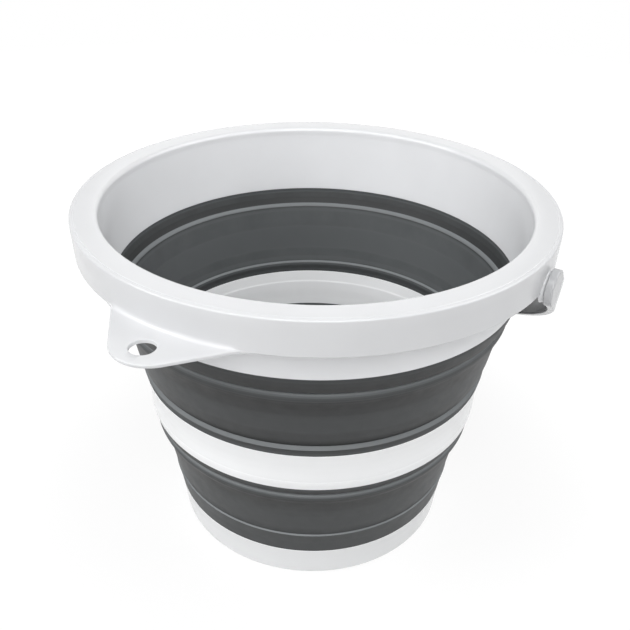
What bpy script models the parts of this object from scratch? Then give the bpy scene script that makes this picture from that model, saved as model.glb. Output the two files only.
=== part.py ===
# Collapsible camp bucket of about ten litres: a white rim frame with a hanging lug, a white
# middle ring and a white base cup, joined by two soft grey bands that fold so that the three
# nest, and a white bail that swings in two bosses on the rim's skirt.
# Metres, +Z up. The origin is the centre of the base's underside, +X lies along the bail's
# pivot axis and -Y points at the hanging lug. The bail hangs down on the +Y side.

import math

import bmesh
import bpy
from mathutils import Vector

# Heights of the five stages, from the floor up
BASE_HEIGHT = 0.0245
LOWER_BAND_HEIGHT = 0.0728
RING_HEIGHT = 0.0308
UPPER_BAND_HEIGHT = 0.0693
COLLAR_HEIGHT = 0.0506

# Radius of the rim, and how far each stage below steps in from the one above it
RIM_RADIUS = 0.160
FLANGE_WIDTH = 0.0176
COLLAR_TAPER = 0.0022
UPPER_BAND_STEP = 0.0169
RING_TAPER = 0.0035
LOWER_BAND_STEP = 0.0160
BASE_TAPER = 0.0030

# Hard mouldings
WALL = 0.0024
EDGE_ROUND = 0.0008
SEAM_GAP = 0.0003
RUNNING_GAP = 0.0003

# Rim frame: a flat flange, a short outer skirt and a tapered inner collar
SKIRT_DEPTH = 0.0230
SKIRT_DRAFT = 0.0008
RIM_ROUND = 0.0030
MOUTH_ROUND = 0.0060

# Hanging lug: a rounded plate that stands out of the skirt's lower edge
LUG_REACH = 0.0325
LUG_NOSE_RADIUS = 0.0239
LUG_FLANK_DEGREES = 49.9
LUG_THICKNESS = 0.0024
LUG_DROP = 0.0014
LUG_ROUND = 0.0006
LUG_FILLET = 0.0030
LUG_HOLE_RADIUS = 0.0075
LUG_HOLE_SHIFT = 0.0087
LUG_TAIL_DEGREES = 0.5
LUG_CHAMFER_DEGREES = 0.9

# Middle ring: a shallow waist under its top edge
RING_WAIST = 0.0009

# Base cup: a flat floor with one drip groove near its edge
FOOT_ROUND = 0.0026
FLOOR_ROUND = 0.0060
GROOVE_INSET = 0.0118
GROOVE_WIDTH = 0.0024
GROOVE_DEPTH = 0.0008

# Soft bands: thick panels between thin folds, with a small ledge at each fold
BAND_WALL = 0.0026
BAND_INSET = 0.0020

# Pivot bosses on the skirt
PIVOT_DROP = 0.0215
BOSS_RADIUS = 0.0095
BOSS_FLARE = 0.0012
BOSS_PROUD = 0.0009
BOSS_WALL = 0.0036
BOSS_SLEEVE_RADIUS = 0.0072
BOSS_SLEEVE_DEPTH = 0.0070

# Bail: a half ring of channel section with a hub and a snap stud at each end
HUB_RADIUS = 0.0115
HUB_THICKNESS = 0.0050
HUB_ROUND = 0.0010
STUD_RADIUS = 0.0040
STUD_HEAD_RADIUS = 0.0050
STUD_HEAD_LENGTH = 0.0034
BAIL_THICKNESS = 0.0042
BAIL_WIDTH = 0.0200
BAIL_ROUND = 0.0014
BAIL_LIP = 0.0022
BAIL_CHANNEL_DEPTH = 0.0022
BAIL_REST_GAP = 0.0010
CHANNEL_START_DEGREES = 16.0
CHANNEL_FULL_DEGREES = 24.0
GRIP_START_DEGREES = 62.0
GRIP_FULL_DEGREES = 70.0

# Fineness of the round forms
SEGMENTS = 72
SMALL_SEGMENTS = 24
BAIL_SECTIONS = 36
LUG_SECTIONS = 24
SHARP_DEGREES = 35.0
WELD_DISTANCE = 0.00001
CUT_OVERRUN = 0.0050

# Levels and radii that follow from the sizes above
MOUTH_RADIUS = RIM_RADIUS - FLANGE_WIDTH
COLLAR_BOTTOM_RADIUS = MOUTH_RADIUS - COLLAR_TAPER
RING_TOP_RADIUS = COLLAR_BOTTOM_RADIUS - UPPER_BAND_STEP
RING_BOTTOM_RADIUS = RING_TOP_RADIUS - RING_TAPER
BASE_TOP_RADIUS = RING_BOTTOM_RADIUS - LOWER_BAND_STEP
FOOT_RADIUS = BASE_TOP_RADIUS - BASE_TAPER
GROOVE_RADIUS = FOOT_RADIUS - GROOVE_INSET
BASE_TOP_Z = BASE_HEIGHT
RING_BOTTOM_Z = BASE_TOP_Z + LOWER_BAND_HEIGHT
RING_TOP_Z = RING_BOTTOM_Z + RING_HEIGHT
COLLAR_BOTTOM_Z = RING_TOP_Z + UPPER_BAND_HEIGHT
RIM_TOP_Z = COLLAR_BOTTOM_Z + COLLAR_HEIGHT
SKIRT_BOTTOM_Z = RIM_TOP_Z - SKIRT_DEPTH
SKIRT_BOTTOM_RADIUS = RIM_RADIUS - SKIRT_DRAFT
PIVOT_Z = RIM_TOP_Z - PIVOT_DROP
BOSS_FACE_X = RIM_RADIUS + BOSS_PROUD
HUB_INNER_X = BOSS_FACE_X + RUNNING_GAP
HUB_OUTER_X = HUB_INNER_X + HUB_THICKNESS
BAIL_OUTER_RADIUS = HUB_OUTER_X - SEAM_GAP
BAIL_INNER_RADIUS = BAIL_OUTER_RADIUS - BAIL_THICKNESS

# Soft band outlines, as (share of the height from the top, share of BAND_INSET by which the
# outside lies inside the straight cone, share of BAND_WALL that is the wall there)
UPPER_BAND_SHARES = (
    (0.000, 0.10, 0.80),
    (0.045, 0.70, 0.50),
    (0.140, 0.95, 0.50),
    (0.160, 0.30, 1.05),
    (0.200, 0.60, 1.00),
    (0.350, 0.75, 0.96),
    (0.600, 0.80, 0.96),
    (0.835, 0.60, 1.00),
    (0.862, 0.20, 1.30),
    (0.895, 0.70, 0.60),
    (0.965, 0.65, 0.50),
    (1.000, 0.10, 0.80),
)
LOWER_BAND_SHARES = (
    (0.000, 0.10, 0.80),
    (0.030, 0.70, 0.50),
    (0.064, 0.80, 0.50),
    (0.082, 0.20, 1.05),
    (0.120, 0.55, 1.00),
    (0.230, 0.95, 0.96),
    (0.400, 1.20, 0.96),
    (0.550, 0.85, 0.96),
    (0.733, 0.50, 1.00),
    (0.740, 0.38, 1.05),
    (0.870, 0.45, 0.60),
    (1.000, 0.10, 0.80),
)

# Colours of the two plastics, linear
WHITE_PLASTIC = (0.78, 0.79, 0.80, 1.0)
GREY_RUBBER = (0.080, 0.082, 0.086, 1.0)


def clear_scene():
    for thing in list(bpy.data.objects):
        bpy.data.objects.remove(thing, do_unlink=True)


def make_material(name, colour, roughness):
    material = bpy.data.materials.new(name)
    material.use_nodes = True
    shader = material.node_tree.nodes["Principled BSDF"]
    shader.inputs["Base Color"].default_value = colour
    shader.inputs["Roughness"].default_value = roughness
    shader.inputs["Metallic"].default_value = 0.0
    return material


def add_object(name, bm, material=None):
    bmesh.ops.remove_doubles(bm, verts=bm.verts, dist=WELD_DISTANCE)
    bmesh.ops.recalc_face_normals(bm, faces=bm.faces)
    mesh = bpy.data.meshes.new(name)
    bm.to_mesh(mesh)
    bm.free()
    mesh.shade_smooth()
    mesh.set_sharp_from_angle(angle=math.radians(SHARP_DEGREES))
    thing = bpy.data.objects.new(name, mesh)
    bpy.context.collection.objects.link(thing)
    if material is not None:
        mesh.materials.append(material)
    return thing


def make_helper(thing):
    thing.hide_render = True
    thing.display_type = "WIRE"
    return thing


def add_boolean(target, helpers, operation):
    # One Boolean takes all its helpers together, as a collection of their own
    group = bpy.data.collections.new(target.name + "_" + operation.lower())
    bpy.context.scene.collection.children.link(group)
    for helper in helpers:
        helper.users_collection[0].objects.unlink(helper)
        group.objects.link(helper)
    modifier = target.modifiers.new(group.name, "BOOLEAN")
    modifier.operation = operation
    modifier.solver = "EXACT"
    modifier.operand_type = "COLLECTION"
    modifier.collection = group


def arc(centre_r, centre_z, radius, start_degrees, end_degrees, steps):
    points = []
    for step in range(steps + 1):
        angle = math.radians(start_degrees + (end_degrees - start_degrees) * step / steps)
        points.append((centre_r + radius * math.cos(angle), centre_z + radius * math.sin(angle)))
    return points


def spun(outline, segments, along_x=False):
    # Turns a closed outline of (radius, height) points once round the Z or the X axis
    bm = bmesh.new()
    verts = []
    for radius, height in outline:
        place = (height, radius, 0.0) if along_x else (radius, 0.0, height)
        verts.append(bm.verts.new(place))
    edges = []
    for i in range(len(outline)):
        on_axis = outline[i - 1][0] == 0.0 and outline[i][0] == 0.0
        if not on_axis:
            edges.append(bm.edges.new((verts[i - 1], verts[i])))
    axis = (1.0, 0.0, 0.0) if along_x else (0.0, 0.0, 1.0)
    bmesh.ops.spin(bm, geom=verts + edges, cent=(0.0, 0.0, 0.0), axis=axis,
                   angle=math.tau, steps=segments, use_merge=True)
    return bm


def lofted(sections):
    # Joins like outlines of points end to end and caps both ends
    bm = bmesh.new()
    rings = [[bm.verts.new(point) for point in section] for section in sections]
    for first, second in zip(rings, rings[1:]):
        for i in range(len(first)):
            bm.faces.new((first[i - 1], first[i], second[i], second[i - 1]))
    bm.faces.new(rings[0])
    bm.faces.new(rings[-1])
    return bm


def smooth_step(start, end, value):
    share = min(1.0, max(0.0, (value - start) / (end - start)))
    return share * share * (3.0 - 2.0 * share)


def rim_outline():
    lip_z = RIM_TOP_Z - MOUTH_ROUND
    under_z = RIM_TOP_Z - WALL
    wall_slope = (MOUTH_RADIUS - (COLLAR_BOTTOM_RADIUS - WALL)) / (COLLAR_HEIGHT - MOUTH_ROUND)
    collar_top_radius = MOUTH_RADIUS + WALL + wall_slope * (MOUTH_ROUND - WALL)
    outline = arc(RIM_RADIUS - RIM_ROUND, RIM_TOP_Z - RIM_ROUND, RIM_ROUND, 90.0, 0.0, 3)
    outline += [
        (SKIRT_BOTTOM_RADIUS, SKIRT_BOTTOM_Z),
        (SKIRT_BOTTOM_RADIUS - WALL, SKIRT_BOTTOM_Z),
        (RIM_RADIUS - WALL, under_z - RIM_ROUND),
        (RIM_RADIUS - RIM_ROUND - WALL, under_z),
        (collar_top_radius, under_z),
        (COLLAR_BOTTOM_RADIUS, COLLAR_BOTTOM_Z + EDGE_ROUND),
        (COLLAR_BOTTOM_RADIUS - EDGE_ROUND, COLLAR_BOTTOM_Z),
        (COLLAR_BOTTOM_RADIUS - WALL, COLLAR_BOTTOM_Z),
    ]
    outline += arc(MOUTH_RADIUS + MOUTH_ROUND, lip_z, MOUTH_ROUND, 180.0, 90.0, 4)
    return outline


def lug_plan_radius(angle):
    # Distance from the bucket's axis to the lug's outline, at an angle from the lug's middle
    centre = RIM_RADIUS + LUG_REACH - LUG_NOSE_RADIUS
    flank = math.radians(LUG_FLANK_DEGREES)
    flank_distance = centre * math.cos(flank) + LUG_NOSE_RADIUS
    turn = math.atan2(LUG_NOSE_RADIUS * math.sin(flank), centre + LUG_NOSE_RADIUS * math.cos(flank))
    if abs(angle) < turn:
        across = centre * math.sin(angle)
        return centre * math.cos(angle) + math.sqrt(LUG_NOSE_RADIUS ** 2 - across ** 2)
    return flank_distance / math.cos(flank - abs(angle))


def lug_end_angle():
    centre = RIM_RADIUS + LUG_REACH - LUG_NOSE_RADIUS
    flank = math.radians(LUG_FLANK_DEGREES)
    flank_distance = centre * math.cos(flank) + LUG_NOSE_RADIUS
    return flank - math.acos(flank_distance / SKIRT_BOTTOM_RADIUS)


def lug_section(angle, reach, underside_z):
    # The profile at one angle: the skirt's wall, a fillet, the plate's flat top and its edge
    top_z = SKIRT_BOTTOM_Z - LUG_DROP + LUG_THICKNESS
    inside = SKIRT_BOTTOM_RADIUS - WALL + SEAM_GAP
    skirt = SKIRT_BOTTOM_RADIUS - SEAM_GAP
    fillet_width = min(LUG_FILLET, max(0.0, reach - LUG_ROUND - skirt))
    profile = [(inside, top_z + LUG_FILLET)]
    for turn in (180.0, 210.0, 240.0, 270.0):
        along = 1.0 + math.cos(math.radians(turn))
        rise = 1.0 + math.sin(math.radians(turn))
        profile.append((skirt + fillet_width * along, top_z + LUG_FILLET * rise))
    profile += [
        (max(skirt, reach - LUG_ROUND), top_z),
        (max(skirt, reach), top_z - LUG_ROUND),
        (max(skirt, reach), min(underside_z + LUG_ROUND, top_z - LUG_ROUND)),
        (max(skirt, reach) - LUG_ROUND, underside_z),
        (inside, underside_z),
    ]
    across = math.sin(angle)
    out = -math.cos(angle)
    return [Vector((radius * across, radius * out, height)) for radius, height in profile]


def make_lug():
    underside_z = SKIRT_BOTTOM_Z - LUG_DROP
    chamfer_z = SKIRT_BOTTOM_Z + SEAM_GAP
    end = lug_end_angle()
    tail = end + math.radians(LUG_TAIL_DEGREES)
    last = tail + math.radians(LUG_CHAMFER_DEGREES)
    # Past its flanks the lug is only a deeper stretch of the skirt's own wall
    sections = [lug_section(-last, 0.0, chamfer_z), lug_section(-tail, 0.0, underside_z)]
    for step in range(LUG_SECTIONS + 1):
        angle = -end + 2.0 * end * step / LUG_SECTIONS
        sections.append(lug_section(angle, lug_plan_radius(angle), underside_z))
    sections += [lug_section(tail, 0.0, underside_z), lug_section(last, 0.0, chamfer_z)]
    return make_helper(add_object("lug_body", lofted(sections)))


def make_lug_hole():
    hole_y = -(RIM_RADIUS + LUG_REACH - LUG_NOSE_RADIUS + LUG_HOLE_SHIFT)
    low_z = SKIRT_BOTTOM_Z - LUG_DROP - CUT_OVERRUN
    high_z = SKIRT_BOTTOM_Z + LUG_THICKNESS + CUT_OVERRUN
    outline = [(0.0, high_z), (LUG_HOLE_RADIUS, high_z), (LUG_HOLE_RADIUS, low_z), (0.0, low_z)]
    hole = add_object("lug_hole_cutter", spun(outline, SMALL_SEGMENTS))
    hole.location.y = hole_y
    return make_helper(hole)


def make_boss(side):
    skirt_x = SKIRT_BOTTOM_RADIUS - WALL / 2.0
    sleeve_x = BOSS_FACE_X - WALL - BOSS_SLEEVE_DEPTH
    outline = [
        (0.0, BOSS_FACE_X),
        (BOSS_RADIUS - EDGE_ROUND, BOSS_FACE_X),
        (BOSS_RADIUS, BOSS_FACE_X - EDGE_ROUND),
        (BOSS_RADIUS + BOSS_FLARE, skirt_x),
        (BOSS_RADIUS, BOSS_FACE_X - BOSS_WALL),
        (BOSS_SLEEVE_RADIUS, BOSS_FACE_X - BOSS_WALL),
        (BOSS_SLEEVE_RADIUS, sleeve_x),
        (0.0, sleeve_x),
    ]
    outline = [(radius, side * place) for radius, place in outline]
    boss = add_object("boss_body", spun(outline, SMALL_SEGMENTS, along_x=True))
    boss.location.z = PIVOT_Z
    return make_helper(boss)


def make_boss_bore(side):
    bore_radius = STUD_RADIUS + RUNNING_GAP
    inner_x = BOSS_FACE_X - WALL - BOSS_SLEEVE_DEPTH - RUNNING_GAP
    outer_x = BOSS_FACE_X + CUT_OVERRUN
    outline = [(0.0, outer_x), (bore_radius, outer_x), (bore_radius, inner_x), (0.0, inner_x)]
    outline = [(radius, side * place) for radius, place in outline]
    bore = add_object("boss_bore_cutter", spun(outline, SMALL_SEGMENTS, along_x=True))
    bore.location.z = PIVOT_Z
    return make_helper(bore)


def make_rim_frame():
    material = make_material("rim_frame_plastic", WHITE_PLASTIC, 0.28)
    rim = add_object("rim_frame", spun(rim_outline(), SEGMENTS), material)
    add_boolean(rim, [make_lug(), make_boss(1.0), make_boss(-1.0)], "UNION")
    cutters = [make_lug_hole(), make_boss_bore(1.0), make_boss_bore(-1.0)]
    add_boolean(rim, cutters, "DIFFERENCE")
    return rim


def band_outline(shares, top_radius, top_z, low_radius, low_z):
    # The outside runs down the cone between the two rings, and the inside comes back up
    outside = []
    inside = []
    for down_share, inset_share, wall_share in shares:
        cone_radius = top_radius + (low_radius - top_radius) * down_share
        height = top_z + (low_z - top_z) * down_share
        outer_radius = cone_radius - BAND_INSET * inset_share
        outside.append((outer_radius, height))
        inside.append((outer_radius - BAND_WALL * wall_share, height))
    return outside + inside[::-1]


def make_upper_band():
    outline = band_outline(UPPER_BAND_SHARES, COLLAR_BOTTOM_RADIUS, COLLAR_BOTTOM_Z - SEAM_GAP,
                           RING_TOP_RADIUS, RING_TOP_Z + SEAM_GAP)
    material = make_material("upper_band_rubber", GREY_RUBBER, 0.50)
    return add_object("upper_band", spun(outline, SEGMENTS), material)


def make_lower_band():
    outline = band_outline(LOWER_BAND_SHARES, RING_BOTTOM_RADIUS, RING_BOTTOM_Z - SEAM_GAP,
                           BASE_TOP_RADIUS, BASE_TOP_Z + SEAM_GAP)
    material = make_material("lower_band_rubber", GREY_RUBBER, 0.50)
    return add_object("lower_band", spun(outline, SEGMENTS), material)


def make_middle_ring():
    middle_radius = (RING_TOP_RADIUS + RING_BOTTOM_RADIUS) / 2.0 - RING_WAIST
    middle_z = (RING_TOP_Z + RING_BOTTOM_Z) / 2.0
    outline = [
        (RING_TOP_RADIUS - EDGE_ROUND, RING_TOP_Z),
        (RING_TOP_RADIUS, RING_TOP_Z - EDGE_ROUND),
        (middle_radius, middle_z),
        (RING_BOTTOM_RADIUS, RING_BOTTOM_Z + EDGE_ROUND),
        (RING_BOTTOM_RADIUS - EDGE_ROUND, RING_BOTTOM_Z),
        (RING_BOTTOM_RADIUS - WALL, RING_BOTTOM_Z),
        (middle_radius - WALL, middle_z),
        (RING_TOP_RADIUS - WALL, RING_TOP_Z),
    ]
    material = make_material("middle_ring_plastic", WHITE_PLASTIC, 0.28)
    return add_object("middle_ring", spun(outline, SEGMENTS), material)


def make_base_cup():
    inner_foot_radius = FOOT_RADIUS - WALL
    outline = [
        (0.0, 0.0),
        (GROOVE_RADIUS - GROOVE_WIDTH / 2.0, 0.0),
        (GROOVE_RADIUS - GROOVE_WIDTH / 4.0, GROOVE_DEPTH),
        (GROOVE_RADIUS + GROOVE_WIDTH / 4.0, GROOVE_DEPTH),
        (GROOVE_RADIUS + GROOVE_WIDTH / 2.0, 0.0),
    ]
    outline += arc(FOOT_RADIUS - FOOT_ROUND, FOOT_ROUND, FOOT_ROUND, 270.0, 360.0, 3)
    outline += [
        (BASE_TOP_RADIUS, BASE_TOP_Z - EDGE_ROUND),
        (BASE_TOP_RADIUS - EDGE_ROUND, BASE_TOP_Z),
        (BASE_TOP_RADIUS - WALL, BASE_TOP_Z),
    ]
    outline += arc(inner_foot_radius - FLOOR_ROUND, WALL + FLOOR_ROUND, FLOOR_ROUND, 0.0, -90.0, 3)
    outline.append((0.0, WALL))
    material = make_material("base_cup_plastic", WHITE_PLASTIC, 0.28)
    return add_object("base_cup", spun(outline, SEGMENTS), material)


def bail_section(angle):
    # A channel open towards the bucket, which closes to a plain strap at the hubs and at the grip
    from_end = min(angle, math.pi - angle)
    channel = smooth_step(math.radians(CHANNEL_START_DEGREES), math.radians(CHANNEL_FULL_DEGREES),
                          from_end)
    grip = smooth_step(math.radians(GRIP_START_DEGREES), math.radians(GRIP_FULL_DEGREES), from_end)
    half = BAIL_WIDTH / 2.0
    open_depth = (BAIL_CHANNEL_DEPTH - SEAM_GAP) * channel * (1.0 - grip)
    floor_radius = BAIL_INNER_RADIUS + SEAM_GAP + open_depth
    profile = [
        (BAIL_OUTER_RADIUS, BAIL_ROUND - half),
        (BAIL_OUTER_RADIUS, half - BAIL_ROUND),
        (BAIL_OUTER_RADIUS - BAIL_ROUND, half),
        (BAIL_INNER_RADIUS, half),
        (BAIL_INNER_RADIUS, half - BAIL_LIP),
        (floor_radius, half - BAIL_LIP),
        (floor_radius, BAIL_LIP - half),
        (BAIL_INNER_RADIUS, BAIL_LIP - half),
        (BAIL_INNER_RADIUS, -half),
        (BAIL_OUTER_RADIUS - BAIL_ROUND, -half),
    ]
    along = math.cos(angle)
    out = math.sin(angle)
    return [Vector((radius * along, radius * out, height)) for radius, height in profile]


def make_hub(side):
    # The hub disc, and the stud that snaps through the boss and is held by its head
    neck_end_x = BOSS_FACE_X - WALL - BOSS_SLEEVE_DEPTH - RUNNING_GAP
    head_end_x = neck_end_x - STUD_HEAD_LENGTH
    outline = [
        (0.0, HUB_OUTER_X),
        (HUB_RADIUS - HUB_ROUND, HUB_OUTER_X),
        (HUB_RADIUS, HUB_OUTER_X - HUB_ROUND),
        (HUB_RADIUS, HUB_INNER_X),
        (STUD_RADIUS, HUB_INNER_X),
        (STUD_RADIUS, neck_end_x),
        (STUD_HEAD_RADIUS, neck_end_x),
        (STUD_RADIUS - RUNNING_GAP, head_end_x),
        (0.0, head_end_x),
    ]
    outline = [(radius, side * place) for radius, place in outline]
    return make_helper(add_object("hub_body", spun(outline, SMALL_SEGMENTS, along_x=True)))


def bail_hang_angle():
    # The bail hangs until its lower inner edge lies against the top of the middle ring
    half = BAIL_WIDTH / 2.0
    reach = math.hypot(BAIL_INNER_RADIUS, half)
    share = min(1.0, (RING_TOP_RADIUS + BAIL_REST_GAP) / reach)
    return math.acos(share) - math.atan2(half, BAIL_INNER_RADIUS)


def make_bail():
    sections = [bail_section(math.pi * step / BAIL_SECTIONS) for step in range(BAIL_SECTIONS + 1)]
    material = make_material("bail_plastic", WHITE_PLASTIC, 0.30)
    bail = add_object("bail", lofted(sections), material)
    hubs = [make_hub(1.0), make_hub(-1.0)]
    for hub in hubs:
        hub.parent = bail
    add_boolean(bail, hubs, "UNION")
    bail.location = (0.0, 0.0, PIVOT_Z)
    bail.rotation_euler = (-bail_hang_angle(), 0.0, 0.0)
    return bail


clear_scene()
make_base_cup()
make_lower_band()
make_middle_ring()
make_upper_band()
make_rim_frame()
make_bail()
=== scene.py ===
# Looks of a collapsible camp bucket: three white mouldings joined by two soft grey bands that
# fold, with a white bail. Its sizes are in millimetres, and become metres as Blender takes them.

import math

import bmesh
import bpy
import numpy as np
from mathutils import Matrix, Vector


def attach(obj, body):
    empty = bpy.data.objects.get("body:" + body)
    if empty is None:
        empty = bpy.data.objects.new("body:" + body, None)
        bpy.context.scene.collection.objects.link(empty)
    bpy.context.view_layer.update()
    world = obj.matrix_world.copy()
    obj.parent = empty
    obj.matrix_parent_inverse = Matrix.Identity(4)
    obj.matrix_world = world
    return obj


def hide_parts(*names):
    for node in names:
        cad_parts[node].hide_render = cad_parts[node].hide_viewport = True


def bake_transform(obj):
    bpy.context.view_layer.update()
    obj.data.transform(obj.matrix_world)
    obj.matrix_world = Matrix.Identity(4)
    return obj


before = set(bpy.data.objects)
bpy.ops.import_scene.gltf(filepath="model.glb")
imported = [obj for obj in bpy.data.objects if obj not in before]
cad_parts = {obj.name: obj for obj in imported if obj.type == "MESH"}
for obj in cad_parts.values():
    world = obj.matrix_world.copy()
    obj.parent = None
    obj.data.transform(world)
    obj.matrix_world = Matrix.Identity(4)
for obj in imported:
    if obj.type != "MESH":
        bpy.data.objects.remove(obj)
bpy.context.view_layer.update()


# Base cup
# The stiff bottom of the bucket, injection moulded in white polypropylene through one gate in
# the middle of its floor. It stands on the flat ring outside a shallow drip groove.

MM = 0.001
AROUND = 240
ARC_STEP_DEGREES = 11.0
LONGEST_EDGE = 6.0
SHARP_DEGREES = 38.0
STRAIGHT_DEGREES = 89.5
ROUND_SHARE = 0.48
SAME_PLACE = 0.002
WALL = 2.4

BASE_TOP_Z = 24.5
BASE_TOP_RADIUS = 103.8
FOOT_RADIUS = 100.8
# Painted light: the same plastic as the rim, painted a little greyer than its white, to stand for
# how the base is lit
BASE_WHITE_PAINTED_LIGHT = "#E5E6E7"

# Lengths of the patterns in the plastic, the depths of its bumps, and how dark a cloud is
FLOW_CLOUD = 45.0
CLOUD_SHADE = 0.975
SMEAR = 18.0
SCUFF_LENGTH = 25.0
SCUFF_WIDTH = 0.625
SHRINKAGE_WAVE = 14.0
WAVE_BUMP = 0.06
MOULD_GRAIN = 0.7
MOULD_GRAIN_BUMP = 0.006


def rounded(outline, longest=LONGEST_EDGE, closed=True, arc_steps=0):
    # Rounds each corner of an outline of (radius, height, corner radius), in arc_steps or as its
    # turn needs. Long edges are cut up so that none is longer than longest, except on the axis
    corners = [Vector(point[:2]) for point in outline]
    points = []
    for i, (_, _, corner_radius) in enumerate(outline):
        here = corners[i]
        before = corners[i - 1] - here
        after = corners[(i + 1) % len(corners)] - here
        if corner_radius <= 0.0 or (not closed and i in (0, len(corners) - 1)):
            points.append(here)
            continue
        half = before.angle(after) / 2.0
        if half > math.radians(STRAIGHT_DEGREES):
            points.append(here)
            continue
        reach = min(corner_radius / math.tan(half),
                    ROUND_SHARE * before.length, ROUND_SHARE * after.length)
        radius = reach * math.tan(half)
        bisector = (before.normalized() + after.normalized()).normalized()
        centre = here + bisector * (radius / math.sin(half))
        first = here + before.normalized() * reach - centre
        last = here + after.normalized() * reach - centre
        turn = first.angle_signed(last)
        steps = arc_steps or max(2, math.ceil(abs(math.degrees(turn)) / ARC_STEP_DEGREES))
        for step in range(steps + 1):
            angle = -turn * step / steps
            cos_a, sin_a = math.cos(angle), math.sin(angle)
            arm = Vector((first.x * cos_a - first.y * sin_a, first.x * sin_a + first.y * cos_a))
            points.append(centre + arm)
    shared = []
    for i, point in enumerate(points):
        gap = points[(i + 1) % len(points)] - point
        plain = point.x == points[(i + 1) % len(points)].x == 0.0
        if not closed and i == len(points) - 1:
            plain = True
        parts = 1 if plain else max(1, math.ceil(gap.length / longest))
        shared += [point + gap * part / parts for part in range(parts)]
    return [tuple(point) for point in shared]


def add_mesh(name, points, faces, material):
    # Makes an object of points in millimetres, with its duplicate points joined
    mesh = bpy.data.meshes.new(name)
    mesh.from_pydata([(x * MM, y * MM, z * MM) for x, y, z in points], [], faces)
    shell = bmesh.new()
    shell.from_mesh(mesh)
    bmesh.ops.remove_doubles(shell, verts=shell.verts, dist=SAME_PLACE * MM)
    bmesh.ops.recalc_face_normals(shell, faces=shell.faces)
    shell.to_mesh(mesh)
    shell.free()
    mesh.shade_smooth()
    mesh.set_sharp_from_angle(angle=math.radians(SHARP_DEGREES))
    mesh.materials.append(material)
    thing = bpy.data.objects.new(name, mesh)
    bpy.context.scene.collection.objects.link(thing)
    return thing


def turned(name, outline_at, material, angles=None):
    # Carries a closed outline of (radius, height) once round the Z axis. outline_at gives it at
    # an angle from -Y, where the lug is, always with as many points
    if angles is None:
        angles = [math.tau * step / AROUND for step in range(AROUND)]
    points = []
    columns = []
    for angle in angles:
        column = []
        for i, (radius, height) in enumerate(outline_at(angle)):
            if radius == 0.0 and columns:
                column.append(columns[0][i])
                continue
            column.append(len(points))
            points.append((radius * math.sin(angle), -radius * math.cos(angle), height))
        columns.append(column)
    faces = []
    for here, there in zip(columns, columns[1:] + columns[:1]):
        for i in range(len(here)):
            corners = [here[i - 1], there[i - 1], there[i], here[i]]
            face = [c for k, c in enumerate(corners) if c != corners[k - 1]]
            if len(face) > 2:
                faces.append(face)
    return add_mesh(name, points, faces, material)


def linear(code):
    # An sRGB hex code as linear colour
    channels = [int(code[i:i + 2], 16) / 255.0 for i in (1, 3, 5)]
    return [c / 12.92 if c <= 0.04045 else ((c + 0.055) / 1.055) ** 2.4 for c in channels] + [1.0]


def add_node(owner, kind, settings=None, links=None):
    # Adds one node to a material or the world, with its properties or input values set and its
    # inputs linked, by name, or by place where several have one name
    node = owner.node_tree.nodes.new("ShaderNode" + kind)
    for key, value in (settings or {}).items():
        if isinstance(key, str) and hasattr(node, key):
            setattr(node, key, value)
        else:
            node.inputs[key].default_value = value
    for key, source in (links or {}).items():
        owner.node_tree.links.new(source, node.inputs[key])
    return node


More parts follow.
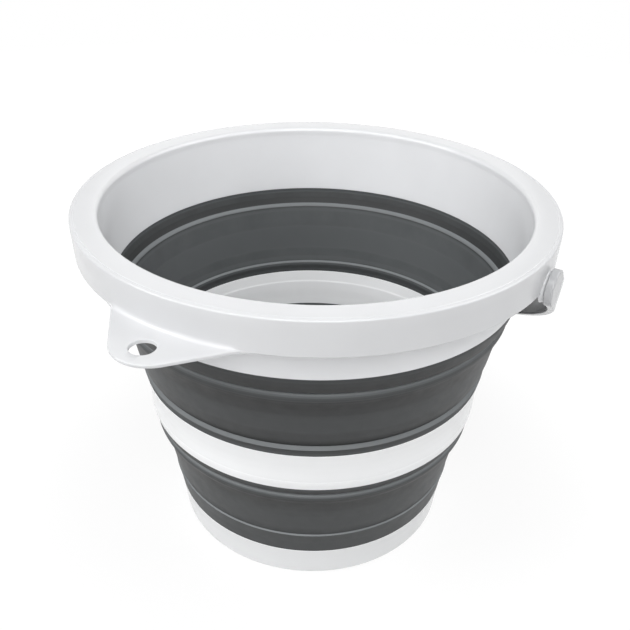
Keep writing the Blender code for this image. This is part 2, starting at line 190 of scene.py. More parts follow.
def moulded_polypropylene(name, white):
    # Polypropylene from a polished mould: a satin gloss that is slightly wavy where the wall
    # shrank as it cooled, faint clouds of flow, and the fine scuffs of a bucket that is carried
    material = bpy.data.materials.new(name)
    material.use_nodes = True
    shader = material.node_tree.nodes["Principled BSDF"]
    shader.inputs["IOR"].default_value = 1.49
    shader.inputs["Metallic"].default_value = 0.0
    links = material.node_tree.links
    place = add_node(material, "TexCoord").outputs["Object"]

    # Clouds of flow
    clouds = add_node(material, "TexNoise", {"Scale": 1.0 / (FLOW_CLOUD * MM), "Detail": 2.0,
                                             "Roughness": 0.5}, {"Vector": place})
    cloud_share = add_node(material, "MapRange", {"From Min": 0.35, "From Max": 0.65},
                           {"Value": clouds.outputs["Fac"]})
    clouded = [c * CLOUD_SHADE for c in linear(white)[:3]] + [1.0]
    # Mix has a pair of inputs and an output for each type of data: 6, 7 and 2 are the colours
    tint = add_node(material, "Mix", {"data_type": "RGBA", 6: linear(white), 7: clouded},
                    {"Factor": cloud_share.outputs["Result"]})
    links.new(tint.outputs[2], shader.inputs["Base Color"])

    # Scuffs: hair lines that run round the bucket, drawn coarser than real ones so that they
    # show, over smears of an uneven gloss
    along = 1.0 / (SCUFF_LENGTH * MM)
    stretched = add_node(material, "Mapping",
                         {"Scale": (along, along, 1.0 / (SCUFF_WIDTH * MM))}, {"Vector": place})
    hairs = add_node(material, "TexNoise", {"Scale": 1.0, "Detail": 3.0, "Roughness": 0.6},
                     {"Vector": stretched.outputs["Vector"]})
    scuffs = add_node(material, "MapRange", {"From Min": 0.56, "From Max": 0.72, "To Min": 0.0,
                                             "To Max": 0.03}, {"Value": hairs.outputs["Fac"]})
    smears = add_node(material, "TexNoise", {"Scale": 1.0 / (SMEAR * MM), "Detail": 4.0,
                                             "Roughness": 0.6}, {"Vector": place})
    gloss = add_node(material, "MapRange", {"From Min": 0.3, "From Max": 0.7, "To Min": 0.19,
                                            "To Max": 0.24}, {"Value": smears.outputs["Fac"]})
    roughness = add_node(material, "Math", {"operation": "ADD"},
                         {0: gloss.outputs["Result"], 1: scuffs.outputs["Result"]})
    links.new(roughness.outputs["Value"], shader.inputs["Roughness"])

    # Shrinkage waves about 0.03 mm deep, then the mould's grain, drawn coarser than it is
    waves = add_node(material, "TexNoise", {"Scale": 1.0 / (SHRINKAGE_WAVE * MM), "Detail": 1.0},
                     {"Vector": place})
    wave_bump = add_node(material, "Bump", {"Strength": 1.0, "Distance": WAVE_BUMP * MM},
                         {"Height": waves.outputs["Fac"]})
    grain = add_node(material, "TexNoise", {"Scale": 1.0 / (MOULD_GRAIN * MM), "Detail": 2.0},
                     {"Vector": place})
    grain_bump = add_node(material, "Bump", {"Strength": 1.0, "Distance": MOULD_GRAIN_BUMP * MM},
                          {"Height": grain.outputs["Fac"], "Normal": wave_bump.outputs["Normal"]})
    links.new(grain_bump.outputs["Normal"], shader.inputs["Normal"])
    return material


base_outline = rounded([
    (0.0, 0.6, 0.0),
    (3.4, 0.6, 0.3),
    (3.8, 0.0, 0.3),
    (87.8, 0.0, 0.3),
    (88.4, 0.8, 0.3),
    (89.6, 0.8, 0.3),
    (90.2, 0.0, 0.3),
    (FOOT_RADIUS, 0.0, 2.6),
    (101.6, 8.0, 20.0),
    (102.5, 16.0, 20.0),
    (BASE_TOP_RADIUS, BASE_TOP_Z, 0.35),
    (BASE_TOP_RADIUS - WALL, BASE_TOP_Z, 0.2),
    (100.3, 16.0, 20.0),
    (98.4, WALL, 6.0),
    (72.0, WALL, 2.0),
    (70.5, WALL + 0.6, 2.0),
    (0.0, WALL + 0.6, 0.0),
])
base_cup = turned("base_cup_moulding", lambda angle: base_outline,
                  moulded_polypropylene("base_polypropylene", BASE_WHITE_PAINTED_LIGHT))
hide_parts("base_cup")
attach(base_cup, "base")


# Lower band
# Soft grey thermoplastic rubber moulded onto the base cup and the middle ring. A thick panel
# hangs between thin folds, with a rounded shoulder on top and a crisp step above the base.

RING_BOTTOM_Z = 97.0
RING_BOTTOM_RADIUS = 119.8
BAND_EDGE = 1.4
SEAM = 0.05
RUBBER_GREY = "#3A3C3D"
RAMP_JITTER_CLOUD = 22.0
RUBBED_PATCH = 9.0
RUBBER_GRAIN = 0.5
RUBBER_GRAIN_BUMP = 0.02
# How many times paler than RUBBER_GREY the rubber is painted, by the Z of its normal, outside
# and inside: painted highlights where it faces up and painted shade where it faces down
PAINTED_LIGHT_OUTSIDE = ((-0.37, 0.25), (-0.28, 0.50), (-0.20, 1.00), (0.00, 0.92), (0.20, 1.45),
                (0.45, 3.0), (0.65, 3.9), (0.90, 3.7))
PAINTED_LIGHT_INSIDE = ((-0.20, 1.30), (0.21, 2.15), (0.32, 0.60), (0.38, 0.60), (0.55, 3.0), (0.90, 4.2))


def moulded_rubber(name, grey):
    # Thermoplastic rubber from a fine spark-eroded mould: dark and matt, with a soft sheen
    # where it curves, painted paler where it faces up and darker where it faces down, as painted
    # highlights and shade
    material = bpy.data.materials.new(name)
    material.use_nodes = True
    shader = material.node_tree.nodes["Principled BSDF"]
    shader.inputs["IOR"].default_value = 1.42
    shader.inputs["Metallic"].default_value = 0.0
    links = material.node_tree.links
    place = add_node(material, "TexCoord").outputs["Object"]

    # Painted light: paler where the band faces up, as painted highlights on its rolls, and darker
    # where it faces down, as painted shade, with clouds of noise that shift where the tones change.
    # A face is outside where its normal points away from the bucket's axis
    ramp_jitter_noise = add_node(material, "TexNoise", {"Scale": 1.0 / (RAMP_JITTER_CLOUD * MM), "Detail": 5.0,
                                            "Roughness": 0.62}, {"Vector": place})
    ramp_jitter = add_node(material, "MapRange", {"From Min": 0.30, "From Max": 0.72,
                                                  "To Min": -0.012, "To Max": 0.012},
                           {"Value": ramp_jitter_noise.outputs["Fac"]})
    normal = add_node(material, "NewGeometry").outputs["Normal"]
    facing = add_node(material, "SeparateXYZ", {}, {"Vector": normal})
    jittered_facing = add_node(material, "Math", {"operation": "ADD"},
                       {0: facing.outputs["Z"], 1: ramp_jitter.outputs["Result"]})
    ramp_place = add_node(material, "MapRange", {"From Min": -1.0},
                          {"Value": jittered_facing.outputs["Value"]})
    level_place = add_node(material, "Mapping", {"Scale": (1.0, 1.0, 0.0)}, {"Vector": place})
    outward = add_node(material, "VectorMath", {"operation": "DOT_PRODUCT"},
                       {0: normal, 1: level_place.outputs["Vector"]})
    outside = add_node(material, "MapRange", {"From Min": -0.01, "From Max": 0.01},
                       {"Value": outward.outputs["Value"]})
    painted_light_colour = add_node(material, "Mix", {"data_type": "RGBA"}, {"Factor": outside.outputs["Result"]})
    for socket, stops in ((6, PAINTED_LIGHT_INSIDE), (7, PAINTED_LIGHT_OUTSIDE)):
        painted_light_ramp = add_node(material, "ValToRGB", {}, {"Fac": ramp_place.outputs["Result"]})
        ramp = painted_light_ramp.color_ramp
        for _ in stops[2:]:
            ramp.elements.new(0.5)
        for stop, (facing_up, paler) in enumerate(stops):
            ramp.elements[stop].position = (facing_up + 1.0) / 2.0
            ramp.elements[stop].color = [c * paler for c in linear(grey)[:3]] + [1.0]
        links.new(painted_light_ramp.outputs["Color"], painted_light_colour.inputs[socket])
    links.new(painted_light_colour.outputs[2], shader.inputs["Base Color"])

    # Matt and rubbed patches
    rubbed = add_node(material, "TexNoise", {"Scale": 1.0 / (RUBBED_PATCH * MM), "Detail": 4.0,
                                             "Roughness": 0.6}, {"Vector": place})
    gloss = add_node(material, "MapRange", {"From Min": 0.3, "From Max": 0.7, "To Min": 0.48,
                                            "To Max": 0.56}, {"Value": rubbed.outputs["Fac"]})
    links.new(gloss.outputs["Result"], shader.inputs["Roughness"])

    # The mould's grain, drawn coarser than the real 0.1 mm so that it shows
    grain = add_node(material, "TexNoise", {"Scale": 1.0 / (RUBBER_GRAIN * MM), "Detail": 2.0},
                     {"Vector": place})
    grain_bump = add_node(material, "Bump", {"Strength": 1.0, "Distance": RUBBER_GRAIN_BUMP * MM},
                          {"Height": grain.outputs["Fac"]})
    links.new(grain_bump.outputs["Normal"], shader.inputs["Normal"])
    return material


lower_band_outline = rounded([
    (RING_BOTTOM_RADIUS - 0.2, RING_BOTTOM_Z - SEAM, 0.2),
    (119.3, 95.0, 2.0),
    (118.3, 91.9, 3.0),
    (115.6, 89.9, 0.15),
    (116.5, 89.3, 0.8),
    (117.2, 88.4, 1.6),
    (117.6, 87.2, 2.4),
    (117.65, 85.9, 3.0),
    (117.0, 84.0, 5.0),
    (115.0, 80.6, 8.0),
    (113.4, 76.6, 20.0),
    (111.6, 70.2, 60.0),
    (110.0, 63.0, 60.0),
    (107.7, 50.5, 60.0),
    (105.95, 43.2, 0.12),
    (106.9, 42.3, 0.4),
    (105.1, 34.0, 40.0),
    (BASE_TOP_RADIUS - 0.2, BASE_TOP_Z + SEAM, 0.2),
    (101.6, BASE_TOP_Z + SEAM, 0.2),
    (103.2, 34.0, 20.0),
    (104.5, 41.0, 1.0),
    (103.9, 43.6, 1.0),
    (105.2, 50.5, 20.0),
    (107.5, 63.0, 60.0),
    (109.1, 70.6, 60.0),
    (111.8, 80.6, 30.0),
    (113.3, 86.0, 6.0),
    (114.0, 90.6, 2.0),
    (115.9, 91.8, 0.15),
    (117.2, 95.0, 3.0),
    (RING_BOTTOM_RADIUS - 2.2, RING_BOTTOM_Z - SEAM, 0.2),
], BAND_EDGE)
band_rubber = moulded_rubber("grey_thermoplastic_rubber", RUBBER_GREY)
lower_band = turned("lower_band_rubber", lambda angle: lower_band_outline, band_rubber)
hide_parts("lower_band")
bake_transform(lower_band)


# Middle ring
# A stiff hoop of white polypropylene between the two bands, with a shallow waist and a fine
# witness line round its lower part. Both bands are moulded over its edges.

RING_TOP_Z = 127.5
RING_TOP_RADIUS = 123.3
# Painted light: the same plastic as the rim, painted whiter than its white, to stand for the extra
# light the ring gets
RING_WHITE_PAINTED_LIGHT = "#F1F2F3"
FINE_EDGE = 3.0

ring_outline = rounded([
    (RING_TOP_RADIUS, RING_TOP_Z, 0.35),
    (122.15, 122.0, 30.0),
    (121.2, 116.5, 30.0),
    (120.75, 111.0, 30.0),
    (120.65, 104.0, 0.1),
    (120.45, 103.8, 0.1),
    (120.62, 103.6, 0.1),
    (120.5, 101.2, 6.0),
    (RING_BOTTOM_RADIUS, RING_BOTTOM_Z, 0.35),
    (RING_BOTTOM_RADIUS - WALL, RING_BOTTOM_Z, 0.2),
    (118.1, 104.0, 10.0),
    (118.3, 111.0, 30.0),
    (118.95, 118.0, 0.3),
    (119.55, 119.2, 0.3),
    (RING_TOP_RADIUS - WALL, RING_TOP_Z, 0.2),
], FINE_EDGE)
middle_ring = turned("middle_ring_moulding", lambda angle: ring_outline,
                     moulded_polypropylene("ring_polypropylene", RING_WHITE_PAINTED_LIGHT))
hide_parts("middle_ring")
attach(middle_ring, "ring")


# Upper band
# The larger soft band, of the same grey rubber, between the middle ring and the rim's collar.
# Its thick panel starts under a recessed fold and flares to a lip above the lower fold.

COLLAR_BOTTOM_Z = 197.4
COLLAR_BOTTOM_RADIUS = 140.2

upper_band_outline = rounded([
    (COLLAR_BOTTOM_RADIUS - 0.2, COLLAR_BOTTOM_Z - SEAM, 0.2),
    (139.9, 195.0, 3.0),
    (138.5, 190.0, 9.0),
    (136.8, 186.0, 2.0),
    (133.3, 184.0, 0.15),
    (134.3, 183.3, 0.8),
    (134.9, 182.4, 1.6),
    (135.35, 181.1, 2.6),
    (135.55, 179.6, 3.4),
    (135.3, 178.0, 4.0),
    (134.2, 175.6, 7.0),
    (132.2, 170.6, 20.0),
    (130.3, 164.5, 40.0),
    (129.1, 159.0, 60.0),
    (127.2, 149.0, 40.0),
    (124.9, 140.2, 12.0),
    (122.5, 135.6, 0.15),
    (124.35, 133.1, 0.35),
    (123.0, 131.5, 0.8),
    (122.8, 129.4, 1.0),
    (RING_TOP_RADIUS - 0.2, RING_TOP_Z + SEAM, 0.2),
    (RING_TOP_RADIUS - 2.2, RING_TOP_Z + SEAM, 0.2),
    (121.0, 130.6, 2.0),
    (120.0, 134.0, 2.0),
    (120.2, 136.3, 2.4),
    (122.0, 137.4, 0.15),
    (122.9, 141.6, 8.0),
    (124.7, 149.0, 40.0),
    (126.6, 159.0, 60.0),
    (128.1, 167.0, 40.0),
    (130.0, 175.0, 20.0),
    (131.2, 180.0, 12.0),
    (132.1, 184.2, 3.4),
    (134.7, 185.7, 0.15),
    (136.4, 190.2, 6.0),
    (137.9, 195.0, 2.0),
    (COLLAR_BOTTOM_RADIUS - 2.2, COLLAR_BOTTOM_Z - SEAM, 0.2),
], BAND_EDGE)
upper_band = turned("upper_band_rubber", lambda angle: upper_band_outline, band_rubber)
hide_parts("upper_band")
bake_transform(upper_band)


# Rim frame
# One moulding in white polypropylene: a tapered collar, a flat flange with a fine bead round
# its edge, a short outer skirt, the hanging lug, and a boss on each side for the bail's studs.

RIM_TOP_Z = 248.0
RIM_RADIUS = 160.0
SKIRT_BOTTOM_Z = 225.0
SKIRT_BOTTOM_RADIUS = 159.2
MOUTH_RADIUS = 142.4
MOUTH_ROUND = 6.0
RIM_WHITE = "#ECEDEF"
# The share of its colour that the painted shade outside the mouth keeps, and the width over which
# it sets in
OUTSIDE_PAINTED_SHADE = 0.77
OUTSIDE_SHADE_BLEND = 2.2
SKIRT_TOP_DEPTH = 3.0
SKIRT_EDGE_ROUND = 0.5
SKIRT_INNER_ROUND = 0.4

LUG_REACH = 32.5
LUG_NOSE_RADIUS = 23.9
LUG_FLANK = math.radians(49.9)
LUG_TOP_Z = 226.0
LUG_BOTTOM_Z = 223.6
LUG_FILLET = 3.0
LUG_EDGE_ROUND = 0.9
LUG_HOLE_RADIUS = 7.4
LUG_HOLE_ROUND = 0.6
LUG_HOLE_OUT = 177.3
LUG_TAIL = math.radians(0.8)
LUG_CHAMFER = math.radians(0.9)
LUG_BLEND = 0.8
LUG_MARGIN = math.radians(2.0)
LUG_STEPS = 120
LUG_HOLE_STEPS = 72
LUG_HOLE_FLARE = 3.0
CUT_PAST = 2.0

PIVOT_Z = 226.5
BOSS_RADIUS = 9.5
BOSS_FLARE = 1.2
BOSS_FACE_X = 160.9
BOSS_WALL = 3.6
BOSS_SLEEVE_RADIUS = 7.2
BOSS_SLEEVE_END_X = 151.5
BORE_RADIUS = 4.3
AROUND_PIVOT = 96

nose_centre = RIM_RADIUS + LUG_REACH - LUG_NOSE_RADIUS
flank_distance = nose_centre * math.cos(LUG_FLANK) + LUG_NOSE_RADIUS
nose_turn = math.atan2(LUG_NOSE_RADIUS * math.sin(LUG_FLANK),
                       nose_centre + LUG_NOSE_RADIUS * math.cos(LUG_FLANK))
lug_end = LUG_FLANK - math.acos(flank_distance / SKIRT_BOTTOM_RADIUS)


def lug_reach(angle):
    # Distance from the axis to the lug's outline, at an angle from its middle, blended softly
    # into the skirt
    if abs(angle) > LUG_FLANK:
        return SKIRT_BOTTOM_RADIUS
    if abs(angle) < nose_turn:
        aside = nose_centre * math.sin(angle)
        return nose_centre * math.cos(angle) + math.sqrt(LUG_NOSE_RADIUS ** 2 - aside ** 2)
    gap = flank_distance / math.cos(LUG_FLANK - abs(angle)) - SKIRT_BOTTOM_RADIUS
    return SKIRT_BOTTOM_RADIUS + (gap + math.hypot(gap, LUG_BLEND)) / 2.0


def rim_section(angle):
    # The skirt's and the lug's part of the profile at one angle from the lug's middle, from its
    # top round to the inside of its lower edge, always with as many points
    reach = lug_reach(angle)
    past = (abs(angle) - lug_end - LUG_TAIL) / LUG_CHAMFER
    rise = min(1.0, max(0.0, past))
    bottom_z = LUG_BOTTOM_Z + (SKIRT_BOTTOM_Z - LUG_BOTTOM_Z) * rise
    edge = min(LUG_EDGE_ROUND, SKIRT_EDGE_ROUND + max(0.0, reach - SKIRT_BOTTOM_RADIUS))
    skirt_top_z = RIM_TOP_Z - SKIRT_TOP_DEPTH
    skirt_slope = (RIM_RADIUS - SKIRT_BOTTOM_RADIUS) / (skirt_top_z - SKIRT_BOTTOM_Z)
    profile = []
    wall_z = LUG_TOP_Z + LUG_FILLET
    for height in np.linspace(skirt_top_z, wall_z, 5)[1:-1]:
        profile.append((SKIRT_BOTTOM_RADIUS + (height - SKIRT_BOTTOM_Z) * skirt_slope, height))
    wall_radius = SKIRT_BOTTOM_RADIUS + (wall_z - SKIRT_BOTTOM_Z) * skirt_slope
    width = min(LUG_FILLET, max(0.0, reach - edge - wall_radius))
    for turn in np.linspace(180.0, 270.0, 7):
        along = 1.0 + math.cos(math.radians(turn))
        fall = 1.0 + math.sin(math.radians(turn))
        height = LUG_TOP_Z + LUG_FILLET * fall
        foot = SKIRT_BOTTOM_RADIUS + (height - SKIRT_BOTTOM_Z) * skirt_slope
        profile.append((foot + width * along, height))
    inner_start = profile[-1][0]
    outer_end = max(inner_start, reach - edge)
    for share in (0.25, 0.5, 0.75, 1.0):
        profile.append((inner_start + (outer_end - inner_start) * share, LUG_TOP_Z))
    round_out = max(reach, inner_start) - outer_end
    for turn in (67.5, 45.0, 22.5, 0.0):
        profile.append((outer_end + round_out * math.cos(math.radians(turn)),
                        LUG_TOP_Z - edge * (1.0 - math.sin(math.radians(turn)))))
    outer = max(reach, inner_start)
    for turn in (0.0, -22.5, -45.0, -67.5, -90.0):
        profile.append((outer - edge * (1.0 - math.cos(math.radians(turn))),
                        min(bottom_z + edge * (1.0 + math.sin(math.radians(turn))),
                            LUG_TOP_Z - edge)))
    inside = SKIRT_BOTTOM_RADIUS - WALL
    underside_start = profile[-1][0]
    underside_end = inside + SKIRT_INNER_ROUND
    for share in (0.25, 0.5, 0.75, 1.0):
        profile.append((underside_start + (underside_end - underside_start) * share, bottom_z))
    profile.append((inside, bottom_z + SKIRT_INNER_ROUND))
    return profile


# Up the inner face of the collar, round the mouth and out over the flange, then from the skirt's
# inner face back under the flange and down the outside of the collar
rim_over = rounded([
    (COLLAR_BOTTOM_RADIUS - WALL, COLLAR_BOTTOM_Z + 1.0, 0.0),
    (MOUTH_RADIUS, RIM_TOP_Z - MOUTH_ROUND, 3.0),
    (MOUTH_RADIUS, RIM_TOP_Z, MOUTH_ROUND),
    (156.9, RIM_TOP_Z, 0.2),
    (157.2, RIM_TOP_Z - 0.2, 0.1),
    (157.5, RIM_TOP_Z - 0.2, 0.1),
    (157.8, RIM_TOP_Z - 0.02, 0.3),
    (RIM_RADIUS, RIM_TOP_Z - 0.3, 2.6),
    (RIM_RADIUS, RIM_TOP_Z - 4.0, 0.0),
], LONGEST_EDGE, closed=False)
rim_under = rounded([
    (SKIRT_BOTTOM_RADIUS - WALL, SKIRT_BOTTOM_Z + 1.5, 0.0),
    (RIM_RADIUS - WALL, RIM_TOP_Z - WALL, 3.0),
    (MOUTH_RADIUS + WALL + 0.2, RIM_TOP_Z - WALL, 2.0),
    (COLLAR_BOTTOM_RADIUS, COLLAR_BOTTOM_Z, 0.4),
    (COLLAR_BOTTOM_RADIUS - WALL, COLLAR_BOTTOM_Z, 0.3),
    (COLLAR_BOTTOM_RADIUS - WALL, COLLAR_BOTTOM_Z + 0.6, 0.0),
], LONGEST_EDGE, closed=False)

# Fine steps round the lug, plain ones elsewhere
lug_zone = lug_end + LUG_TAIL + LUG_CHAMFER + LUG_MARGIN
rim_angles = list(np.linspace(-lug_zone, lug_zone, LUG_STEPS + 1))
rim_angles += list(np.linspace(lug_zone, math.tau - lug_zone, AROUND)[1:-1])


def combined(thing, helpers, operation):
    # Joins helpers to a mesh, or cuts them out of it, all together and for good
    group = bpy.data.collections.new(operation)
    bpy.context.scene.collection.children.link(group)
    for helper in helpers:
        bpy.context.scene.collection.objects.unlink(helper)
        group.objects.link(helper)
    modifier = thing.modifiers.new(operation, "BOOLEAN")
    modifier.operation = operation
    modifier.solver = "EXACT"
    modifier.operand_type = "COLLECTION"
    modifier.collection = group
    graph = bpy.context.evaluated_depsgraph_get()
    mesh = bpy.data.meshes.new_from_object(thing.evaluated_get(graph))
    thing.modifiers.clear()
    thing.data = mesh
    for helper in helpers:
        bpy.data.objects.remove(helper)
    bpy.data.collections.remove(group)
    mesh.shade_smooth()
    mesh.set_sharp_from_angle(angle=math.radians(SHARP_DEGREES))


def across(name, outline, material, side):
    # Turns an outline of (radius, distance along the pivot axis) into a form on that axis
    angles = [math.tau * step / AROUND_PIVOT for step in range(AROUND_PIVOT)]
    form = turned(name, lambda angle: [(radius, side * place) for radius, place in outline],
                  material, angles)
    form.data.transform(Matrix.Translation((0.0, 0.0, PIVOT_Z * MM))
                        @ Matrix.Rotation(math.radians(90.0), 4, "Y"))
    return form


rim_material = moulded_polypropylene("rim_polypropylene", RIM_WHITE)

# Painted shade: the flange, skirt and lug are painted a little greyer than the collar, and the
# grey sets in just outside the mouth, where the collar ends
rim_shader = rim_material.node_tree.nodes["Principled BSDF"]
outward = add_node(rim_material, "VectorMath", {"operation": "MULTIPLY", 1: (1.0, 1.0, 0.0)},
                   {0: add_node(rim_material, "TexCoord").outputs["Object"]})
distance = add_node(rim_material, "VectorMath", {"operation": "LENGTH"},
                    {"Vector": outward.outputs["Vector"]})
painted_shade_mask = add_node(rim_material, "MapRange",
                  {"From Min": MOUTH_RADIUS * MM, "From Max": (MOUTH_RADIUS + OUTSIDE_SHADE_BLEND) * MM},
                  {"Value": distance.outputs["Value"]})
painted_shade_colour = add_node(rim_material, "Mix", {"data_type": "RGBA", "blend_type": "MULTIPLY",
                                        7: (OUTSIDE_PAINTED_SHADE, OUTSIDE_PAINTED_SHADE, OUTSIDE_PAINTED_SHADE, 1.0)},
                  {"Factor": painted_shade_mask.outputs["Result"],
                   6: rim_shader.inputs["Base Color"].links[0].from_socket})
rim_material.node_tree.links.new(painted_shade_colour.outputs[2], rim_shader.inputs["Base Color"])

rim_frame = turned("rim_frame_moulding",
                   lambda angle: rim_over + rim_section(angle) + rim_under,
                   rim_material, rim_angles)
boss_outline = rounded([
    (0.0, BOSS_SLEEVE_END_X, 0.0),
    (BOSS_SLEEVE_RADIUS, BOSS_SLEEVE_END_X, 0.5),
    (BOSS_SLEEVE_RADIUS, BOSS_FACE_X - BOSS_WALL, 0.8),
    (BOSS_RADIUS, BOSS_FACE_X - BOSS_WALL, 0.5),
    (BOSS_RADIUS + BOSS_FLARE, SKIRT_BOTTOM_RADIUS - WALL / 2.0, 0.5),
    (BOSS_RADIUS, BOSS_FACE_X, 0.6),
    (0.0, BOSS_FACE_X, 0.0),
], FINE_EDGE)
bore_outline = rounded([
    (0.0, BOSS_SLEEVE_END_X - CUT_PAST, 0.0),
    (BORE_RADIUS, BOSS_SLEEVE_END_X - CUT_PAST, 0.0),
    (BORE_RADIUS, BOSS_FACE_X + CUT_PAST, 0.0),
    (0.0, BOSS_FACE_X + CUT_PAST, 0.0),
], FINE_EDGE)
hole_outline = rounded([
    (0.0, LUG_TOP_Z + CUT_PAST, 0.0),
    (LUG_HOLE_RADIUS + LUG_HOLE_FLARE, LUG_TOP_Z + CUT_PAST, 0.0),
    (LUG_HOLE_RADIUS + LUG_HOLE_FLARE, LUG_TOP_Z + LUG_HOLE_ROUND, 0.0),
    (LUG_HOLE_RADIUS, LUG_TOP_Z, LUG_HOLE_ROUND),
    (LUG_HOLE_RADIUS, LUG_BOTTOM_Z, LUG_HOLE_ROUND),
    (LUG_HOLE_RADIUS + LUG_HOLE_FLARE, LUG_BOTTOM_Z - LUG_HOLE_ROUND, 0.0),
    (LUG_HOLE_RADIUS + LUG_HOLE_FLARE, LUG_BOTTOM_Z - CUT_PAST, 0.0),
    (0.0, LUG_BOTTOM_Z - CUT_PAST, 0.0),
], FINE_EDGE)
bosses = [across("boss", boss_outline, rim_material, side) for side in (1.0, -1.0)]
bores = [across("bore", bore_outline, rim_material, side) for side in (1.0, -1.0)]
hole = turned("hole", lambda angle: hole_outline, rim_material,
              [math.tau * step / LUG_HOLE_STEPS for step in range(LUG_HOLE_STEPS)])
hole.data.transform(Matrix.Translation((0.0, -LUG_HOLE_OUT * MM, 0.0)))
combined(rim_frame, bosses, "UNION")
combined(rim_frame, bores + [hole], "DIFFERENCE")
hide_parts("rim_frame")
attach(rim_frame, "rim")


# Bail
# A half hoop of white polypropylene. Each end is a flat round hub with a stud that snaps through
# the rim's boss, and between hub and grip the strap is a channel open towards the bucket.

HUB_RADIUS = 11.5
HUB_INNER_X = 161.2
HUB_OUTER_X = 166.2
STUD_RADIUS = 4.0
STUD_HEAD_RADIUS = 5.0
STUD_HEAD_X = 151.2
STUD_END_X = 147.8
BAIL_OUTER_RADIUS = 165.9
BAIL_INNER_RADIUS = 161.7
BAIL_WIDTH = 20.0
BAIL_HUB_WIDTH = 22.4
BAIL_LIP = 2.2
BAIL_CHANNEL_DEPTH = 2.2
BAIL_SOLID_DEPTH = 0.15
# Degrees from the pivot axis between which the channel deepens, and then runs out again
BAIL_CHANNEL_START = (16.0, 24.0)
BAIL_CHANNEL_END = (62.0, 70.0)
BAIL_HANG = math.radians(36.354)
BAIL_STEPS = 180
# Painted shade: the bail's white plastic is painted grey, to stand for the shade on its hub
BAIL_WHITE_PAINTED_SHADE = "#B4B5B7"


def eased(start, end, value):
    # A soft step that rises from 0 at start to 1 at end
    share = min(1.0, max(0.0, (value - start) / (end - start)))
    return share * share * (3.0 - 2.0 * share)


def bail_section(angle):
    # Its outline at one angle from the pivot axis, as (radius, place across the strap)
    from_end = math.degrees(min(angle, math.pi - angle))
    channel = eased(*BAIL_CHANNEL_START, from_end) * (1.0 - eased(*BAIL_CHANNEL_END, from_end))
    narrowed = eased(0.0, BAIL_CHANNEL_START[0], from_end)
    half = (BAIL_HUB_WIDTH + (BAIL_WIDTH - BAIL_HUB_WIDTH) * narrowed) / 2.0
    floor = BAIL_INNER_RADIUS + BAIL_SOLID_DEPTH + (BAIL_CHANNEL_DEPTH - BAIL_SOLID_DEPTH) * channel
    return rounded([
        (BAIL_OUTER_RADIUS, -half, 1.2),
        (BAIL_OUTER_RADIUS, half, 1.2),
        (BAIL_INNER_RADIUS, half, 0.5),
        (BAIL_INNER_RADIUS, half - BAIL_LIP, 0.3),
        (floor, half - BAIL_LIP - 0.2, 0.12),
        (floor, BAIL_LIP + 0.2 - half, 0.12),
        (BAIL_INNER_RADIUS, BAIL_LIP - half, 0.3),
        (BAIL_INNER_RADIUS, -half, 0.5),
    ], math.inf, arc_steps=6)


bail_points = []
for step in range(BAIL_STEPS + 1):
    turn = math.pi * step / BAIL_STEPS
    bail_points += [(radius * math.cos(turn), radius * math.sin(turn), place)
                    for radius, place in bail_section(turn)]
count = len(bail_section(0.0))
bail_faces = [list(range(count)), list(range(BAIL_STEPS * count, (BAIL_STEPS + 1) * count))[::-1]]
for step in range(BAIL_STEPS):
    for i in range(count):
        here, there = step * count, (step + 1) * count
        bail_faces.append([here + (i - 1) % count, there + (i - 1) % count, there + i, here + i])
bail_material = moulded_polypropylene("bail_polypropylene", BAIL_WHITE_PAINTED_SHADE)
bail = add_mesh("bail_moulding", bail_points, bail_faces, bail_material)
hub_outline = rounded([
    (0.0, STUD_END_X, 0.0),
    (STUD_RADIUS - 0.3, STUD_END_X, 0.8),
    (STUD_HEAD_RADIUS, STUD_HEAD_X, 0.2),
    (STUD_RADIUS, STUD_HEAD_X, 0.2),
    (STUD_RADIUS, HUB_INNER_X, 0.4),
    (HUB_RADIUS, HUB_INNER_X, 0.6),
    (HUB_RADIUS, HUB_OUTER_X, 1.0),
    (0.0, HUB_OUTER_X, 0.0),
], FINE_EDGE)
hubs = [across("hub", hub_outline, bail_material, side) for side in (1.0, -1.0)]
for hub in hubs:
    hub.data.transform(Matrix.Translation((0.0, 0.0, -PIVOT_Z * MM)))
combined(bail, hubs, "UNION")
bail.data.transform(Matrix.Translation((0.0, 0.0, PIVOT_Z * MM))
                    @ Matrix.Rotation(-BAIL_HANG, 4, "X"))
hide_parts("bail")
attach(bail, "bail")


# Floor, lamps and camera
# A pale floor that keeps the bucket's shadow, soft studio light, and the photograph's view.

FLOOR_RADIUS = 1600.0
FLOOR_TOP_Z = -0.5
FLOOR_UNDER_Z = -2.0
FLOOR_REFLECTS = 0.7
FLOOR_GLOW = 1.05
# The glow is held back near the bucket, out to these distances, so that its shadow shows
GLOW_NEAR = 0.82
GLOW_GROWS_FROM = 140.0
GLOW_FULL_AT = 340.0
WORLD_FILL = 0.05
LAMP_AIM_Z = 140.0
CAMERA_OUT = 501.3
CAMERA_HEIGHT = 456.7
CAMERA_AZIMUTH = math.radians(-60.0)
CAMERA_PITCH = math.radians(31.031)
CAMERA_YAW = math.radians(0.0603)
CAMERA_ROLL = math.radians(1.154)
SENSOR_WIDTH = 36.0
LENS = 45.997


def background_rays(owner):
    # 1 for what the camera sees, itself or by a mirrored or refracted ray, and 0 for other rays
    path = add_node(owner, "LightPath")
    mirrored = add_node(owner, "Math", {"operation": "MAXIMUM"},
                        {0: path.outputs["Is Camera Ray"], 1: path.outputs["Is Glossy Ray"]})
    shown = add_node(owner, "Math", {"operation": "MAXIMUM"},
                     {0: mirrored.outputs["Value"], 1: path.outputs["Is Transmission Ray"]})
    return shown.outputs["Value"]


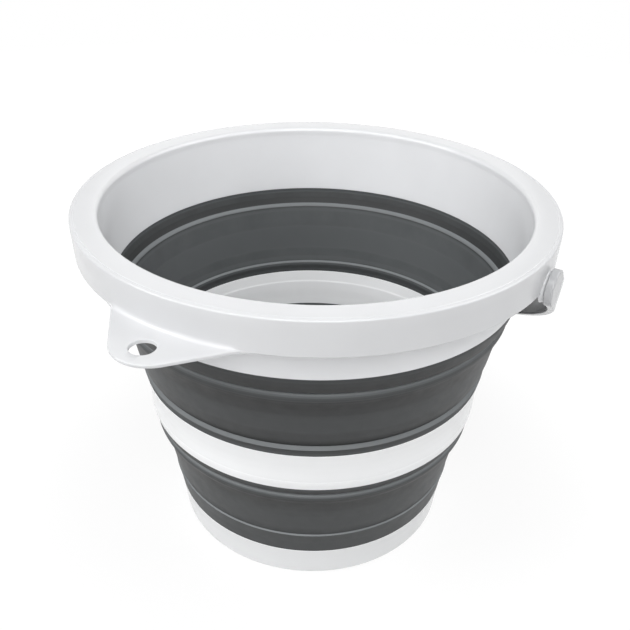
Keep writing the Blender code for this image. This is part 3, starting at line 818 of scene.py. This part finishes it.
floor_paint = bpy.data.materials.new("pale_floor")
floor_paint.use_nodes = True
floor_paint.node_tree.nodes.clear()
floor_outline = [(0.0, FLOOR_TOP_Z), (FLOOR_RADIUS, FLOOR_TOP_Z),
                 (FLOOR_RADIUS, FLOOR_UNDER_Z), (0.0, FLOOR_UNDER_Z)]
floor = turned("floor", lambda angle: floor_outline, floor_paint)
matt = add_node(floor_paint, "BsdfDiffuse",
                {"Color": (FLOOR_REFLECTS, FLOOR_REFLECTS, FLOOR_REFLECTS, 1.0)})
white = add_node(floor_paint, "Emission", {"Color": (1.0, 1.0, 1.0, 1.0), "Strength": FLOOR_GLOW})
reach = add_node(floor_paint, "VectorMath", {"operation": "LENGTH"},
                 {"Vector": add_node(floor_paint, "TexCoord").outputs["Object"]})
glow = add_node(floor_paint, "MapRange",
                {"interpolation_type": "SMOOTHSTEP", "From Min": GLOW_GROWS_FROM * MM,
                 "From Max": GLOW_FULL_AT * MM, "To Min": GLOW_NEAR},
                {"Value": reach.outputs["Value"]})
seen = add_node(floor_paint, "Math", {"operation": "MULTIPLY"},
                {0: glow.outputs["Result"], 1: background_rays(floor_paint)})
mixed = add_node(floor_paint, "MixShader", {}, {"Fac": seen.outputs["Value"],
                                                1: matt.outputs["BSDF"],
                                                2: white.outputs["Emission"]})
add_node(floor_paint, "OutputMaterial", {}, {"Surface": mixed.outputs["Shader"]})

world = bpy.data.worlds.new("studio")
bpy.context.scene.world = world
world.use_nodes = True
background = world.node_tree.nodes["Background"]
background.inputs["Color"].default_value = (1.0, 1.0, 1.0, 1.0)
strength = add_node(world, "MapRange", {"To Min": WORLD_FILL, "To Max": 1.0},
                    {"Value": background_rays(world)})
world.node_tree.links.new(strength.outputs["Result"], background.inputs["Strength"])


def add_lamp(name, azimuth, elevation, distance, width, height, power):
    # A softbox that faces the bucket, placed by its direction from it in degrees, and by its
    # distance in metres, as its size is. Its power is in watts
    aim = Vector((0.0, 0.0, LAMP_AIM_Z * MM))
    around, above = math.radians(azimuth), math.radians(elevation)
    arm = Vector((math.cos(above) * math.cos(around), math.cos(above) * math.sin(around),
                  math.sin(above)))
    lamp = bpy.data.lights.new(name, "AREA")
    lamp.shape = "RECTANGLE"
    lamp.size = width
    lamp.size_y = height
    lamp.energy = power
    thing = bpy.data.objects.new(name, lamp)
    thing.location = aim + arm * distance
    thing.rotation_euler = arm.to_track_quat("Z", "Y").to_euler()
    thing.visible_camera = False
    bpy.context.scene.collection.objects.link(thing)


add_lamp("right_softbox", 34.0, 41.0, 1.6, 1.3, 1.0, 13.0)
add_lamp("left_softbox", -136.0, 37.0, 1.6, 0.7, 0.7, 10.4)
add_lamp("high_left_softbox", -112.0, 55.0, 1.6, 0.5, 0.5, 5.0)
add_lamp("front_softbox", -60.0, 45.0, 1.6, 1.1, 1.0, 15.5)
add_lamp("low_front_softbox", -60.0, 7.0, 1.5, 1.1, 0.4, 1.6)
add_lamp("back_softbox", 120.0, 22.0, 1.6, 1.1, 1.0, 2.2)

heading = CAMERA_AZIMUTH + math.pi - CAMERA_YAW
forward = Vector((math.cos(heading) * math.cos(CAMERA_PITCH),
                  math.sin(heading) * math.cos(CAMERA_PITCH), -math.sin(CAMERA_PITCH)))
level = forward.cross(Vector((0.0, 0.0, 1.0))).normalized()
upward = level.cross(forward)
right = math.cos(CAMERA_ROLL) * level + math.sin(CAMERA_ROLL) * upward
up = math.cos(CAMERA_ROLL) * upward - math.sin(CAMERA_ROLL) * level
camera_data = bpy.data.cameras.new("camera")
camera_data.sensor_width = SENSOR_WIDTH
camera_data.lens = LENS
camera = bpy.data.objects.new("camera", camera_data)
bpy.context.scene.collection.objects.link(camera)
turned_axes = Matrix((right, up, -forward)).transposed().to_4x4()
camera.matrix_world = Matrix.Translation((CAMERA_OUT * MM * math.cos(CAMERA_AZIMUTH),
                                          CAMERA_OUT * MM * math.sin(CAMERA_AZIMUTH),
                                          CAMERA_HEIGHT * MM)) @ turned_axes
bpy.context.scene.camera = camera
bpy.context.scene.view_settings.view_transform = "Standard"
